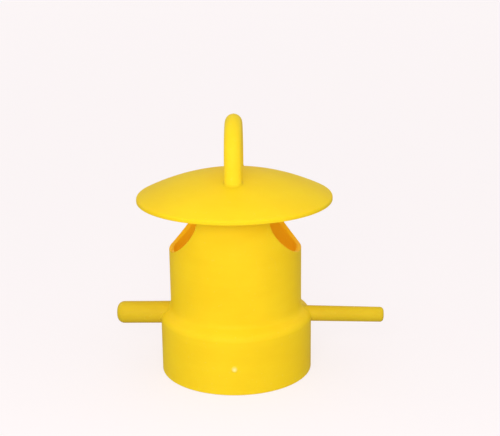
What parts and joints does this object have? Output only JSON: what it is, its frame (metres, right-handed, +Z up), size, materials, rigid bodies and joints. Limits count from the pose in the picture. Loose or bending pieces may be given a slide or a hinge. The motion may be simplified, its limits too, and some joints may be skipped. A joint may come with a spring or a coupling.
{
  "type": "pheromone insect trap",
  "caption": "Insect trap with a round domed rain hood and hanging loop, a barrel with two side windows and two side arms, and inside a lure cage, a funnel and a pull-off cup.",
  "frame": {"origin": "on the trap's vertical axis, at the flat underside of the cup's grip bar, which lies level with the barrel's lower rim", "axes": "+Z up along the axis, +X towards the thin long arm, -X towards the thick short arm, -Y towards the viewer in front; the windows face -X and +X"},
  "size_m": [0.1398, 0.1, 0.1348],
  "materials": {
    "hood_plastic": "smooth semi-matt moulded yellow",
    "loop_plastic": "smooth semi-matt moulded yellow",
    "keeper_plastic": "matt moulded yellow",
    "pin_steel": "plain drawn pin",
    "barrel_plastic": "smooth semi-matt moulded yellow",
    "arm_plastic": "smooth semi-matt moulded yellow",
    "funnel_plastic": "smooth moulded yellow",
    "wire_steel": "drawn wire",
    "cage_plastic": "natural white moulded plastic",
    "lure_rubber": "red rubber stopper",
    "cup_plastic": "smooth moulded yellow",
    "screen_steel": "pierced sheet",
    "seal_rubber": "black rubber ring",
    "cradle_plastic": "matt moulded yellow",
    "strip_felt": "impregnated felt block"
  },
  "bodies": {
    "barrel": {"barrel": "barrel_plastic", "left_arm": "arm_plastic", "right_arm": "arm_plastic", "left_arm_pin": "pin_steel", "right_arm_pin": "pin_steel", "funnel": "funnel_plastic"},
    "hood": {"rain_hood": "hood_plastic", "hanging_loop": "loop_plastic", "loop_keeper": "keeper_plastic", "keeper_pin_front": "pin_steel", "keeper_pin_back": "pin_steel"},
    "hook": {"lure_hook": "wire_steel"},
    "cage": {"lure_cage": "cage_plastic"},
    "cap": {"cage_cap": "cage_plastic", "lure_septum": "lure_rubber"},
    "cup": {"collecting_cup": "cup_plastic", "drain_screen": "screen_steel", "cup_seal": "seal_rubber", "strip_cradle": "cradle_plastic", "kill_strip": "strip_felt"}
  },
  "joints": [
    {"name": "hood_lift", "type": "slide", "parent": "barrel", "child": "hood", "axis": [0, 0, 1], "range_m": [0, 0.03]},
    {"name": "hook_swing", "type": "hinge", "parent": "hood", "child": "hook", "pos_m": [0, 0, 0.0906], "axis": [1, 0, 0], "range_deg": [-10, 10]},
    {"name": "cage_swing", "type": "hinge", "parent": "hook", "child": "cage", "pos_m": [0, 0, 0.0771], "axis": [0, 1, 0], "range_deg": [-10, 10]},
    {"name": "cap_pull", "type": "slide", "parent": "cage", "child": "cap", "axis": [0, 0, -1], "range_m": [0, 0.004]},
    {"name": "cup_drop", "type": "slide", "parent": "barrel", "child": "cup", "axis": [0, 0, -1], "range_m": [0, 0.03]}
  ]
}
